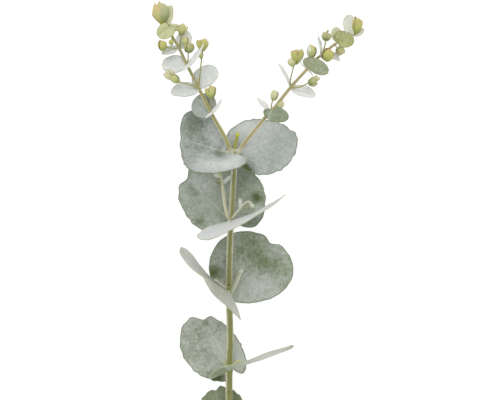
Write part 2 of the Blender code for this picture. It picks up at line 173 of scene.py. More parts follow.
def sweep(thing, route, radius):
    """Lay the rod along the route, with a radius given for each point, angle and share of the way.

    The rod keeps, as its own attribute, the distance along it and the two
    parts of the direction round it, so that bark and wax follow its length.
    """
    reach = [0.0]
    for a, b in zip(route, route[1:]):
        reach.append(reach[-1] + (b - a).length)
    places = []
    for corner in thing.data.vertices:
        t = min(max(corner.co.z + 0.5, 0), 1)
        angle, spread = atan2(corner.co.y, corner.co.x), hypot(corner.co.x, corner.co.y)
        target = t * reach[-1]
        i = min(max(j for j, distance in enumerate(reach) if distance <= target + 1e-9), len(route) - 2)
        share = (target - reach[i]) / (reach[i + 1] - reach[i])
        point = route[i].lerp(route[i + 1], share)
        before = route[max(i - 1, 0)].lerp(route[i], share) if i else route[0]
        after = route[i + 1].lerp(route[i + 2], share) if i < len(route) - 2 else route[-1]
        ahead = (after - before).normalized()
        aside = ahead.cross(Vector((0, 0, 1))).normalized()
        above = aside.cross(ahead)
        places.append((target, spread * cos(angle), spread * sin(angle)))
        corner.co = point + (aside * cos(angle) + above * sin(angle)) * radius(point, angle, t) * spread
    keep(thing, "rod_place", places)


def face_out(thing):
    pick(thing)
    mode("EDIT")
    bpy.ops.mesh.select_all(action="SELECT")
    bpy.ops.mesh.normals_make_consistent(inside=False)
    mode("OBJECT")


def finish_piece(thing, node, smooth=60):
    """Scale a shaped piece to metres, smooth it and put it in the CAD node's place."""
    thing.data.transform(Matrix.Scale(MM, 4))
    pick(thing)
    bpy.ops.object.shade_smooth_by_angle(angle=radians(smooth))
    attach(thing, "root")
    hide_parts(node)


def coat(thing, *materials):
    for material in materials:
        thing.data.materials.append(material)


LIGHT = 1.16       # how bright a white card lying on the table is


def paint(red, green, blue):
    """A finish's own colour, from how it looks on screen, 0 to 255, in this scene's light."""
    return tuple(((c / 255 + 0.055) / 1.055) ** 2.4 / LIGHT for c in (red, green, blue))


class Finish:
    """A material being put together from nodes."""

    def __init__(self, name, roughness, specular=0.35, sheen=0.0):
        self.material = bpy.data.materials.new(name)
        self.material.use_nodes = True
        self.tree = self.material.node_tree
        self.shader = self.tree.nodes["Principled BSDF"]
        self.shader.inputs["Roughness"].default_value = roughness
        self.shader.inputs["Specular IOR Level"].default_value = specular
        self.shader.inputs["Sheen Weight"].default_value = sheen
        self.place = self.node("TexCoord").outputs["Object"]

    def node(self, kind):
        return self.tree.nodes.new("ShaderNode" + kind)

    def feed(self, socket, value):
        if isinstance(value, bpy.types.NodeSocket):
            self.tree.links.new(value, socket)
        else:
            socket.default_value = value

    def read(self, attribute):
        """The three parts of an attribute of the mesh."""
        source = self.node("Attribute")
        source.attribute_name = attribute
        parts = self.node("SeparateXYZ")
        self.tree.links.new(source.outputs["Vector"], parts.inputs[0])
        return parts.outputs[0], parts.outputs[1], parts.outputs[2]

    def number(self, attribute):
        source = self.node("Attribute")
        source.attribute_name = attribute
        return source.outputs["Fac"]

    def math(self, kind, a, b=0.0):
        made = self.node("Math")
        made.operation = kind
        for socket, value in zip(made.inputs, (a, b)):
            self.feed(socket, value)
        return made.outputs[0]

    def add(self, a, b):
        return self.math("ADD", a, b)

    def less(self, a, b):
        return self.math("SUBTRACT", a, b)

    def times(self, a, b):
        return self.math("MULTIPLY", a, b)

    def stir(self, base, noise, amount):
        """The base pushed up and down by a noise, whose middle is 0.5."""
        return self.add(base, self.times(self.less(noise, 0.5), amount))

    def ramp(self, value, low, high, start=0.0, end=1.0, kind="SMOOTHSTEP"):
        """Ease from start to end while the value goes from low to high."""
        made = self.node("MapRange")
        made.interpolation_type = kind
        self.feed(made.inputs["Value"], value)
        for name, number in zip(("From Min", "From Max", "To Min", "To Max"), (low, high, start, end)):
            made.inputs[name].default_value = number
        return made.outputs["Result"]

    def noise(self, size, detail=3, rough=0.55, where=None, warp=0.0):
        """Soft noise with blots of about that size, in the unit of its coordinates."""
        made = self.node("TexNoise")
        self.feed(made.inputs["Vector"], where or self.place)
        made.inputs["Scale"].default_value = 1 / size
        made.inputs["Detail"].default_value = detail
        made.inputs["Roughness"].default_value = rough
        made.inputs["Distortion"].default_value = warp
        return made.outputs["Fac"]

    def near(self, point, inner, outer):
        """1 within `inner` mm of the point, falling to 0 at `outer`."""
        made = self.node("VectorMath")
        made.operation = "DISTANCE"
        self.tree.links.new(self.place, made.inputs[0])
        made.inputs[1].default_value = Vector(point) * MM
        return self.ramp(made.outputs["Value"], inner * MM, outer * MM, 1, 0)

    def stretch(self, parts, shares):
        """Coordinates made longer or shorter along each direction."""
        made = self.node("CombineXYZ")
        for socket, part, share in zip(made.inputs, parts, shares):
            self.feed(socket, self.times(part, share))
        return made.outputs[0]

    def mix(self, amount, below, above):
        made = self.node("Mix")
        made.data_type = "RGBA"
        self.feed(made.inputs["Factor"], amount)
        for socket, value in zip((made.inputs[6], made.inputs[7]), (below, above)):
            self.feed(socket, (*value, 1) if isinstance(value, tuple) else value)
        return made.outputs[2]

    def done(self, colour, relief=None, depth=0.0, roughness=None):
        self.tree.links.new(colour, self.shader.inputs["Base Color"])
        if roughness is not None:
            self.tree.links.new(roughness, self.shader.inputs["Roughness"])
        if relief is not None:
            bump = self.node("Bump")
            bump.inputs["Strength"].default_value = 0.6
            bump.inputs["Distance"].default_value = depth * MM
            self.tree.links.new(relief, bump.inputs["Height"])
            self.tree.links.new(bump.outputs["Normal"], self.shader.inputs["Normal"])
        return self.material


# the stem's pale wax is brightened into a painted sheen on its flanks
STEM_GREEN, STEM_WAX_AND_SHEEN = (147, 151, 89), (218, 216, 192)
SPOT_BROWN = (108, 80, 50)
FLECK_BROWN = (112, 88, 58)
FOOT_FADE = (60, 190)     # between these distances from the cut end the barer foot turns waxy
PITH, WOOD, WOOD_RAY, WOOD_RIM = (196, 178, 132), (214, 212, 168), (178, 170, 120), (128, 138, 78)


def bark(name, green, wax, flank_wax_and_sheen=0.62, spots=(0.66, 0.7), marks=(), lean=0.0, foot_bare=0.0):
    """Smooth green bark: olive on the crown, pale with wax and painted sheen on the flanks, finely streaked
    along.

    Each mark is a round spot: its middle, the radii where it starts and ends to fade, and its colour.
    `lean` makes the pale wax and painted sheen reach further over the left side than the right,
    and `foot_bare` is how much less of the wax there is towards the cut end.
    """
    make = Finish(name, 0.55, 0.4, 0.1)
    green, wax = paint(*green), paint(*wax)
    along, across, up = make.read("rod_place")
    fibres = make.noise(1, 4, 0.6, make.stretch((along, across, up), (0.16, 3.2, 3.2)))
    wear_and_painted_light = make.noise(7 * MM, 3, 0.6)
    side = make.math("ABSOLUTE", make.less(across, lean))
    wax_and_sheen = make.stir(side, fibres, 0.9)
    wax_and_sheen = make.stir(wax_and_sheen, wear_and_painted_light, 0.5)
    wax_and_sheen = make.less(wax_and_sheen, make.ramp(along, *FOOT_FADE, foot_bare, 0))
    # pale flanks: real wax bloom, together with a painted sheen along the rod's edges
    colour = make.mix(make.ramp(wax_and_sheen, flank_wax_and_sheen - 0.18, flank_wax_and_sheen + 0.22), green, wax)
    dark = tuple(0.62 * c for c in green)
    colour = make.mix(make.ramp(fibres, 0.5, 0.72, 0, 0.35), colour, dark)
    specks = make.noise(1.1 * MM, 2, 0.5)
    colour = make.mix(make.ramp(specks, *spots, 0, 0.6), colour, paint(*FLECK_BROWN))
    for middle, inner, outer, tint in marks:
        colour = make.mix(make.near(middle, inner, outer), colour, paint(*tint))
    return make.done(colour, fibres, 0.25, make.ramp(fibres, 0.3, 0.7, 0.5, 0.68))


def cut_wood(name):
    """The cut end: a green rim, pale wet wood in faint rings, and a soft pith."""
    make = Finish(name, 0.7, 0.25)
    _, across, up = make.read("rod_place")
    radius = make.math("SQRT", make.add(make.times(across, across), make.times(up, up)))
    rays = make.noise(0.25 * MM, 3, 0.6)
    rings = make.add(radius, make.times(rays, 0.12))
    colour = make.mix(make.ramp(rings, 0.16, 0.26), paint(*PITH), paint(*WOOD))
    colour = make.mix(make.ramp(rings, 0.84, 0.93), colour, paint(*WOOD_RIM))
    colour = make.mix(make.ramp(rays, 0.45, 0.75, 0, 0.4), colour, paint(*WOOD_RAY))
    return make.done(colour, rays, 0.15)


def crown(point, angle, t):
    """Radius of the main stem, with faint ridges that run down from the leaves."""
    ridges = 0.035 * cos(4 * angle + 0.03 * point.y) + 0.02 * sin(7 * angle + 0.11 * point.y)
    return stem_radius(point.y) * (1 + ridges)


stem = rod("stem_bark", STEM_SIDES, STEM_CUTS)
inset_caps(stem, CUT_RINGS)
sweep(stem, through([(x, y, stem_height(y)) for x, y in STEM_LINE], 1.5), crown)
for corner in stem.data.vertices:
    corner.co.z = max(corner.co.z, TABLE_GAP)
stem_marks = [((-17.5, -79.7, 9), 0.4, 0.8, SPOT_BROWN), ((-17.3, -14.9, 12.9), 0.4, 0.8, SPOT_BROWN)]
coat(stem, bark("stem_bark", STEM_GREEN, STEM_WAX_AND_SHEEN, 0.57, marks=stem_marks, lean=0.12, foot_bare=0.22),
     cut_wood("stem_cut"))
face_out(stem)
for face in stem.data.polygons:
    if face.normal.y < -0.8 and face.center.y < STEM_CUT + 1:
        face.material_index = 1
finish_piece(stem, "main_stem", 45)


# Leaves of the five pairs
# Round, stalkless, leathery blades, blue-grey with wax that wears through to
# green in clouds and flecks, with a pale midrib, faint side veins and a thin rim.
# A few dark green patches are painted shade, and pale ones on the fork's left lobe painted light.

BLADE = 0.5            # thickness of a blade
BLADE_SPOKES, BLADE_TURNS = 200, 26
NOTCH_WIDTH, SMOOTH_BASE = 0.13, 0.6       # radians, seen from the blade's centre


@dataclass
class Leaf:
    """One blade: where it grows, how it is turned, and the outline round its centre."""
    at: tuple
    heading: float
    pitch: float = 0
    spin: float = 0
    roll: float = 0
    reach: float = 20
    side: float = 0
    half: float = 22
    left: float = 26
    right: float = 26
    skew: float = 0
    egg: float = 0
    point: float = 0
    aim: float = 0
    notch: float = 1.5
    sinus: float = 0.35
    fold_left: float = 0
    fold_right: float = 0
    fold_radius: float = 6
    crease: tuple = ()
    camber: float = 0
    cup: float = 0
    twist: float = 0
    wave: float = 0.7
    ripple: float = 0.35
    veins: float = 4.6
    seed: int = 0
    thickness: float = BLADE


def angle_between(a, b):
    return abs((a - b + pi) % (2 * pi) - pi)


def oval(leaf, angle):
    turned = angle - radians(leaf.skew)
    width = leaf.left if sin(turned) > 0 else leaf.right
    power = 2 - leaf.point
    spread = abs(cos(turned) / leaf.half) ** power + abs(sin(turned) / width) ** power
    return (1 + leaf.egg * cos(turned)) / spread ** (1 / power)


def ends(leaf):
    """Directions of the blade's base and of its tip, seen from its centre."""
    return atan2(-leaf.side, -leaf.reach), atan2(-leaf.side, leaf.half) + radians(leaf.aim)


def rim(leaf, angle):
    """Distance from the blade's centre to its edge."""
    base, tip = ends(leaf)
    back = angle_between(angle, base)
    scallops = (0.6 * sin(17 * angle + 1.3 * leaf.seed) + 0.5 * sin(26 * angle + 2.1 * leaf.seed)
                + 0.5 * sin(9 * angle + leaf.seed))
    edge = oval(leaf, angle) + leaf.ripple * (1 - hump(back, SMOOTH_BASE)) * scallops
    edge -= leaf.notch * hump(angle_between(angle, tip), NOTCH_WIDTH)
    return edge - (oval(leaf, base) - hypot(leaf.reach, leaf.side)) * hump(back, leaf.sinus)


def edge_point(leaf, angle):
    out = rim(leaf, angle)
    return Vector((leaf.reach + out * cos(angle), leaf.side + out * sin(angle)))


def bend(p, direction, angle, radius):
    """Turn the blade up on the left of a line through its base, on that radius."""
    ahead = p.x * cos(direction) + p.y * sin(direction)
    across = p.y * cos(direction) - p.x * sin(direction)
    if across <= 0 or angle == 0:
        return p
    sign = 1 if angle > 0 else -1
    curved = min(across, abs(angle) * radius)
    turned = curved / radius
    beyond = across - curved
    out = radius * sin(turned) + beyond * cos(turned) - p.z * sin(turned) * sign
    up = sign * (radius * (1 - cos(turned)) + beyond * sin(turned)) + p.z * cos(turned)
    return Vector((ahead * cos(direction) - out * sin(direction),
                   ahead * sin(direction) + out * cos(direction), up))


def pressed(z, floor, soft=1.6):
    """Height after the table has pushed a low part of a blade up to lie flat on it."""
    over = z - floor
    if over > soft:
        return z
    return floor if over < -soft else floor + (over + soft) ** 2 / (4 * soft)


def on_blade(leaf, x, y, lift=0.0):
    """A point of the blade, from its place on the flat leaf and its height off it."""
    out, angle = hypot(x - leaf.reach, y - leaf.side), atan2(y - leaf.side, x - leaf.reach)
    share = min(out / rim(leaf, angle), 1)
    p = Vector((x, y, lift))
    if leaf.crease:
        direction, turned, radius = leaf.crease
        p = bend(p, radians(direction), radians(turned), radius)
    p = bend(p, 0, radians(leaf.fold_left), leaf.fold_radius)
    p = bend(p, pi, radians(leaf.fold_right), leaf.fold_radius)
    p.z += leaf.camber * (p.x / 40) ** 2 + leaf.cup * (p.y / 25) ** 2 + leaf.twist * p.x * p.y / 1000
    p.z += leaf.wave * (share ** 2.5 * sin(3 * angle + 1.7 * leaf.seed)
                        + 0.4 * share ** 3 * sin(7 * angle + 2.3 * leaf.seed))
    turn = (Matrix.Rotation(radians(leaf.heading), 3, "Z") @ Matrix.Rotation(-radians(leaf.pitch), 3, "Y")
            @ Matrix.Rotation(radians(leaf.roll), 3, "X") @ Matrix.Rotation(radians(leaf.spin), 3, "Z"))
    p = turn @ p + Vector(leaf.at)
    p.z = pressed(p.z, leaf.thickness / 2 + LEAF_GAP)
    return p


def vein_relief(leaf, x, across, length, edge):
    """Height of the quilting between the veins: a sunk midrib and shallow side furrows."""
    fade = max(0, 1 - x / (length * 1.02))
    middle = -0.3 * hump(across, 0.75) * (0.25 + 0.75 * fade)
    start = x - 0.72 * abs(across) - 0.01 * across ** 2 + (0.25 * leaf.veins if across > 0 else 0)
    inside = min(1, max(0, edge) / 3)
    quilt = -0.09 * cos(2 * pi * start / leaf.veins) * inside * (1 - exp(-abs(across) / 2.5))
    uneven = 0.12 * sin(0.33 * x + 0.27 * across + leaf.seed)
    uneven *= sin(0.24 * across - 0.15 * x + 2 * leaf.seed)
    return middle + quilt + uneven * inside


def disc(name, spokes, shares):
    """A flat disc of unit radius in rings, each at its share of the way out."""
    bpy.ops.mesh.primitive_circle_add(vertices=spokes, radius=1, fill_type="NGON")
    made = bpy.context.object
    made.name = name
    mode("EDIT")
    bpy.ops.mesh.select_mode(type="FACE")
    bpy.ops.mesh.select_all(action="SELECT")
    apothem = cos(pi / spokes)
    for outer, inner in zip((1, *shares), shares):
        bpy.ops.mesh.inset(thickness=(outer - inner) * apothem, use_boundary=True, use_even_offset=True)
    bpy.ops.mesh.poke()
    mode("OBJECT")
    return made


def shape_blade(thing, leaf, wear_and_painted_light_spots=(), relief=vein_relief):
    """Lay a unit disc out as the leaf, its spokes closest together at the midrib.

    The mesh keeps its place on the flat leaf (along and across the midrib, and
    the distance to the rim) and, from the blade's spots, its wax wear with some painted shade and light,
    for the finish.
    """
    base, tip = ends(leaf)
    tip_point = edge_point(leaf, tip)
    length = tip_point.length
    middle = tip_point * max(0.36, leaf.reach / length)
    ribward = tip_point.normalized()
    ahead_turn, back_turn = (base - tip) % (2 * pi), (tip - base) % (2 * pi)
    places, wear_and_painted_light = [], []
    for corner in thing.data.vertices:
        share, t = corner.co.xy.length, atan2(corner.co.y, corner.co.x)
        t -= 0.33 * sin(2 * t)
        angle = tip + (t / pi) * (ahead_turn if t > 0 else back_turn)
        outward = edge_point(leaf, angle) - middle
        flat = middle + outward * min(share, 1)
        along, across = flat.dot(ribward), ribward.x * flat.y - ribward.y * flat.x
        edge = (1 - min(share, 1)) * outward.length
        corner.co = on_blade(leaf, flat.x, flat.y, relief(leaf, along, across, length, edge))
        places.append((along, across, edge))
        # the spots sum to wax wear, with painted shade and painted light in a few of them
        wear_and_painted_light.append(sum(amount * exp(-((corner.co.x - x) ** 2 + (corner.co.y - y) ** 2) / size ** 2)
                          for x, y, size, amount in wear_and_painted_light_spots))
    keep(thing, "leaf_place", places)
    keep(thing, "wear_and_painted_light", wear_and_painted_light)


def thicken(thing, thickness):
    """Give a shaped sheet its two faces and its edge, each with its own finish."""
    pick(thing)
    wall = thing.modifiers.new("thickness", "SOLIDIFY")
    wall.thickness = thickness
    wall.offset = 0
    wall.material_offset = 1
    wall.material_offset_rim = 2
    bpy.ops.object.modifier_apply(modifier=wall.name)


OLIVE_RIM = (114, 125, 84)
PALE_RIM = (178, 182, 150)
STREAK_TINT = (172, 164, 142)
SPECK_TINT = (132, 122, 86)


def blade_skin(name, wax, flesh, edge_colour=OLIVE_RIM, ground=0.35, darkest_green_and_shade=(92, 101, 64),
               frost=(214, 218, 214), rib=(214, 219, 208), vein=0.3, spacing=4.6, clouds=0.9, streak=0.0,
               margin=1.0):
    """Leaf skin: wax over green flesh, wearing through in clouds and fine flecks, with faint veins and a
    rim.

    `ground` is how far the wax wears through over the whole blade, and the mesh's own
    spots add to it in places: wax wear, and on a few blades painted shade and painted light.
    At 0 the wax is whole, at 1 the flesh shows, at 2 it is a dark green, which on some
    blades is painted shade, and below 0 the wax is a thick frost, also used for painted light.
    """
    make = Finish(name, 0.6, 0.3, 0.12)
    wax, flesh, pale = paint(*wax), paint(*flesh), paint(*rib)
    along, across, edge = make.read("leaf_place")
    wide = make.noise(7 * MM, 3, 0.55, warp=0.5)
    patchy = make.noise(3.4 * MM, 3, 0.6, warp=1.0)
    mottle = make.noise(1.6 * MM, 4, 0.68, warp=0.3)
    grain = make.noise(0.6 * MM, 2, 0.6)
    side = make.math("ABSOLUTE", across)
    away = make.less(along, make.times(side, 0.72))
    away = make.less(away, make.times(make.times(side, side), 0.01))
    away = make.add(away, make.times(make.math("GREATER_THAN", across, 0.0), 0.25 * spacing))
    away = make.stir(away, wide, 4.0)
    furrow = make.math("PINGPONG", away, spacing / 2)
    side_vein = make.times(make.ramp(furrow, 0.0, 0.5, 1, 0), make.ramp(edge, 1.0, 4.0))
    side_vein = make.times(side_vein, make.ramp(wide, 0.42, 0.62))
    rib_width = make.math("MAXIMUM", make.less(0.7, make.times(along, 0.016)), 0.1)
    midrib = make.ramp(make.less(side, rib_width), -0.3, 0.6, 1, 0)
    midrib = make.times(midrib, make.ramp(along, 8, 42, 1, 0.35))
    # wax wear, raised further where dark painted shade lies and lowered where pale painted light lies
    wear_and_painted_light_level = make.add(make.number("wear_and_painted_light"), ground)
    wear_and_painted_light_level = make.stir(wear_and_painted_light_level, wide, clouds)
    wear_and_painted_light_level = make.stir(wear_and_painted_light_level, patchy, 1.3)
    wear_and_painted_light_level = make.stir(wear_and_painted_light_level, mottle, 1.9)
    fibres = make.noise(1, 3, 0.6, make.stretch((along, across, edge), (0.2, 1.3, 0.0)))
    wear_and_painted_light_level = make.stir(wear_and_painted_light_level, fibres, streak + 0.5)
    colour = make.mix(make.ramp(wear_and_painted_light_level, 0, 1, kind="LINEAR"), wax, flesh)
    # the darkest green: deep wear, and on some blades painted shade
    colour = make.mix(make.ramp(wear_and_painted_light_level, 1, 2, kind="LINEAR"), colour, paint(*darkest_green_and_shade))
    colour = make.mix(make.ramp(wear_and_painted_light_level, -1, 0, 1, 0, "LINEAR"), colour, paint(*frost))
    colour = make.mix(make.ramp(grain, 0.55, 0.8, 0, 0.25), colour, tuple(0.7 * c for c in flesh))
    colour = make.mix(make.ramp(fibres, 0.56, 0.76, 0, 0.4 * streak), colour, paint(*STREAK_TINT))
    specks = make.noise(1.2 * MM, 2, 0.5, warp=0.4)
    colour = make.mix(make.ramp(specks, 0.67, 0.76, 0, 0.45), colour, paint(*SPECK_TINT))
    colour = make.mix(make.times(side_vein, 0.4 * vein), colour, pale)
    colour = make.mix(make.times(midrib, vein), colour, pale)
    colour = make.mix(make.ramp(edge, 0.15 * margin, margin, 0.8, 0), colour, paint(*edge_colour))
    relief = make.add(make.times(mottle, 0.5), make.times(side_vein, -0.3))
    relief = make.add(relief, make.times(midrib, -0.5))
    return make.done(colour, relief, 0.18, make.ramp(mottle, 0.3, 0.7, 0.52, 0.7))


def rim_skin(name, colour):
    """The thin edge of a blade, in soft blots."""
    make = Finish(name, 0.6, 0.3)
    colour = paint(*colour)
    uneven = make.noise(1.6 * MM, 3, 0.6)
    mixed = make.mix(make.ramp(uneven, 0.35, 0.7), colour, tuple(0.78 * c for c in colour))
    return make.done(mixed, uneven, 0.1)


UPRIGHT_RIM = dict(edge_colour=PALE_RIM, margin=0.6)
BLADE_LOOKS = {
    "fork_left_top": dict(wax=(180, 186, 181), flesh=(126, 136, 121)),
    "fork_left_back": dict(wax=(208, 212, 209), flesh=(178, 185, 176), ground=0.1, streak=0.35),
    # its darkest green is painted shade, for the band shaded by the left leaf's lobe
    "fork_right_top": dict(wax=(191, 197, 193), flesh=(147, 157, 149), darkest_green_and_shade=(70, 82, 44), vein=0.5),
    "second_top": dict(wax=(178, 186, 173), flesh=(129, 142, 118), darkest_green_and_shade=(84, 96, 52), clouds=1.1),
    "third_top": dict(wax=(190, 196, 186), flesh=(127, 140, 108), darkest_green_and_shade=(86, 100, 54), vein=0.26),
    # its darkest green is painted shade, for the crescent along the blade's lower edge
    "fourth_top": dict(wax=(200, 205, 194), flesh=(137, 148, 127), darkest_green_and_shade=(60, 72, 30), vein=0.5, clouds=1.2),
    "fifth_top": dict(wax=(154, 163, 137), flesh=(121, 133, 97), ground=0.6),
    "leaf_underside": dict(wax=(196, 202, 197), flesh=(160, 169, 154)),
    "upright_white": dict(wax=(221, 223, 221), flesh=(196, 200, 193), streak=0.4, **UPRIGHT_RIM),
    "upright_grey": dict(wax=(209, 211, 203), flesh=(168, 171, 152), streak=0.9, **UPRIGHT_RIM),
    "upright_green": dict(wax=(186, 192, 172), flesh=(127, 138, 94), streak=0.4, **UPRIGHT_RIM),
}
SKINS = {name: blade_skin(name, **look) for name, look in BLADE_LOOKS.items()}
SKINS["edge_olive"] = rim_skin("edge_olive", OLIVE_RIM)
SKINS["edge_pale"] = rim_skin("edge_pale", PALE_RIM)
WAYS_IN = [i / BLADE_TURNS for i in range(1, BLADE_TURNS)]
BLADE_RINGS = tuple(1 - 0.5 * way - 0.5 * way ** 1.4 for way in WAYS_IN)
UPRIGHT = dict(wave=0.5, notch=1.2)
LOW = ("leaf_underside", "edge_olive")
HIGH = ("upright_white", "upright_grey", "upright_green")
WHITE, GREY, GREEN = [(skin, skin, "edge_pale") for skin in HIGH]
# each blade, the skins of its faces and edge, and the places (x, y, size, amount)
# where its wax wears off or is painted dark as shade, or, with an amount below 0, is thick or painted light
BLADES = {
    "fork_leaf_left": (
        Leaf((-18, 64.4, 17), 161, -17, reach=1.7, side=7.7, half=20.5, left=19.5, right=40.3,
             skew=50, aim=8, sinus=0.78, crease=(18.4, 58.5, 3), notch=1.2, wave=0.4, seed=8),
        ("fork_left_top", "fork_left_back", "edge_olive"),
        # the four pale spots near y 56 to 60 are thicker wax with painted light on the turned-up lobe
        [(-38.7, 80, 8, 0.75), (-37, 88, 5, 0.4), (-26, 76, 6, -0.4), (-36, 64, 8, 0.1),
         (-24, 64.2, 2.6, 1.0), (-21, 62.6, 2, 0.6), (-33, 57.5, 5, -0.75), (-26, 56.5, 5, -0.8),
         (-19, 57.5, 5, -0.9), (-12, 59.5, 4.5, -0.9), (-32, 69.5, 4, 0.3)]),
    "fork_leaf_right": (
        Leaf((-11.2, 64.2, 13.2), 18, -27, reach=20, side=2.5, half=23.6, left=12.5, right=21,
             skew=-14, egg=-0.17, aim=12, sinus=0.27, fold_left=6, fold_right=6, camber=3, seed=1),
        ("fork_right_top", *LOW),
        # the first two spots are painted shade under the left leaf's folded lobe
        [(-6.6, 54, 4.2, 2.0), (-11, 56.5, 3.5, 1.6), (-4.2, 81, 10, -1.3), (8, 80, 6, -0.7),
         (6.6, 57, 8, 0.15), (-7, 65, 4, -0.3)]),
    "second_leaf_under": (
        Leaf((-17.6, 24.6, 10.0), 137, -19, reach=10, side=-4, half=28.5, left=20.5, right=27,
             skew=6, egg=0.04, camber=3, fold_left=4, fold_right=-3, notch=2.8, seed=2),
        ("second_top", *LOW),
        [(-0.6, 37.5, 3.4, 1.9), (-6.3, 44.4, 8, 0.2), (-37, 46.6, 5, -0.8), (-31.7, 37.5, 5, -0.3),
         (-41, 43.6, 2.2, 0.6), (-37.6, 40, 2.2, 0.6), (-30.5, 45.5, 4, -0.6), (-35.4, 23, 3, 0.8),
         (-22, 26.2, 2.5, 0.5), (-6, 22.8, 4, 0.5), (0.5, 31.6, 3, -0.5), (-11, 29, 4, -0.4)]),
    "second_leaf_upright": (
        Leaf((-16.5, 23.6, 15.7), -73, 84, spin=5, reach=22, side=5.2, half=23, left=28.5,
             right=28.5, twist=5, cup=1.8, **UPRIGHT, seed=5),
        WHITE, []),
    "third_leaf_under": (
        Leaf((-15.2, -19.2, 6.4), 51.5, -13, reach=11.5, side=-0.7, half=22, left=21, right=29,
             skew=42, egg=0.28, sinus=0.14, ripple=0.15, fold_left=4, fold_right=4, notch=2.8, seed=3),
        ("third_top", *LOW),
        [(-5.4, 10.8, 9, 0.45), (1.2, -0.6, 7, 0.7), (-24.9, 0, 8, -0.1), (1.2, -16.8, 9, -0.6),
         (12, -5.4, 6, 0.35), (-27, -8, 4, 1.5)]),
    "third_leaf_upright": (
        Leaf((-18, -19.8, 13.7), -118.6, 92.6, spin=-27.2, reach=22, side=6.5, half=23, left=23.5,
             right=36, fold_left=-40.5, fold_right=5.3, camber=1.2, cup=7.3, twist=2.8, **UPRIGHT, seed=6),
        GREY, [(-42, 2, 8, -0.3), (-24.6, -18, 9, 0.5)]),
    "fourth_leaf_under": (
        Leaf((-17.7, -64.2, 4.75), 119.4, -10, reach=9.5, half=23.6, left=19, right=13.2, skew=16,
             egg=0.2, sinus=0.16, fold_left=4, notch=3.2, seed=4),
        ("fourth_top", *LOW),
        # the first spot is that crescent of painted shade
        [(-25, -72, 4.5, 2.4), (-36.6, -43.2, 8, 0.1), (-36.6, -56, 8, 0.2), (-24, -52, 5, -0.5),
         (-20, -59, 4, -0.6), (-11.4, -55.5, 8, -1.2), (-44, -58, 4, 0.4), (-32, -38.6, 2, 0.9)]),
    "fourth_leaf_upright": (
        Leaf((-17.3, -65.6, 10.8), -67.5, 97.5, spin=-5.7, reach=20, side=15.6, half=22, left=28.8,
             right=26.5, fold_left=-12, fold_right=-18.5, camber=0.4, cup=2, twist=-0.4, **UPRIGHT, seed=7),
        GREEN, [(-22.2, -67.8, 9, 0.6), (5, -57.3, 13, -0.8)]),
    "fifth_leaf_under": (
        Leaf((-17.8, -107.6, 2.0), 106, -4.5, reach=12, half=21, left=15, right=16, skew=-4,
             egg=-0.08, fold_left=4, fold_right=4, notch=1.8, seed=9),
        ("fifth_top", *LOW), []),
    "fifth_leaf_upright": (
        Leaf((-17.2, -108.8, 8.05), -60, 82, spin=8, reach=21, half=23, left=27, right=26, twist=3,
             camber=3, **UPRIGHT, seed=10),
        WHITE, []),
}

for node, (leaf, skins, wear_and_painted_light_spots) in BLADES.items():
    blade = disc(node + "_blade", BLADE_SPOKES, BLADE_RINGS)
    shape_blade(blade, leaf, wear_and_painted_light_spots)
    thicken(blade, leaf.thickness)
    coat(blade, *(SKINS[skin] for skin in skins))
    finish_piece(blade, node)


# Leaf bases
# The blades have no stalk.  Each grows straight out of the swollen joint by a
# short pale foot that runs on into its midrib, and a saddle joins the fork's two.

FOOT_RADIUS, FOOT_TAPER, FOOT_FLATNESS = 1.35, 1.15, 0.35
FOOT_START, FOOT_END = 0.4, 5              # along the midrib
SADDLE_LINE = [(-17, 64.4, 16.4), (-14.1, 65.7, 16.5), (-11, 64.4, 15.8)]


def foot_radius(point, angle, t):
    return (FOOT_RADIUS - FOOT_TAPER * t) * (1 - FOOT_FLATNESS * abs(sin(angle)) * t)


feet = []
for node, (leaf, *_) in BLADES.items():
    foot = rod(node + "_foot", 12, 9)
    route = [stem_axis(leaf.at[1]), on_blade(leaf, FOOT_START, 0), on_blade(leaf, FOOT_END, 0)]
    sweep(foot, through(route, 0.8), foot_radius)
    feet.append(foot)
saddle = rod("fork_saddle", 14, 12)
sweep(saddle, through(SADDLE_LINE, 0.8), lambda point, angle, t: FOOT_RADIUS)
feet.append(saddle)
bases = together("leaf_bases", feet)
coat(bases, bark("leaf_base", (178, 182, 146), (214, 215, 198), 0.4))
face_out(bases)
finish_piece(bases, "main_stem")


# Flowering shoots
# Two slender side stems go up from the fork.  Each carries five pairs of small
# leaves, tight bud clusters on thin stalks, and a tip of leaves still closed.

YOUNG = 0.36          # thickness of a small blade
YOUNG_VEINS = 2.4
YOUNG_SPOKES, YOUNG_RINGS = 56, tuple(1 - i / 9 for i in range(1, 9))
STALK = 0.42          # radius of a stalk
FEW_SPOTS = (0.7, 0.74)
TWIG = bark("twig_bark", (158, 158, 96), (198, 194, 146), 0.7, FEW_SPOTS)


def young_leaf(at, heading, length, width, pitch=0, roll=0, behind=0.0, side=0.0, point=0.0, seed=0):
    """A small blade, by its whole length and width, and how far it lies behind and beside its base."""
    return Leaf(at, heading, pitch, roll=roll, reach=length / 2 - behind, side=side,
                half=length / 2, left=width / 2, right=width / 2, point=point, notch=0, sinus=0.5,
                wave=0.25, ripple=0, cup=1.5, fold_left=8, fold_right=8, fold_radius=3,
                veins=YOUNG_VEINS, seed=seed, thickness=YOUNG)


def young_relief(leaf, x, across, length, edge):
    return -0.16 * hump(across, 0.4) * max(0, 1 - x / length) - 0.03 * cos(2 * pi * x / leaf.veins)


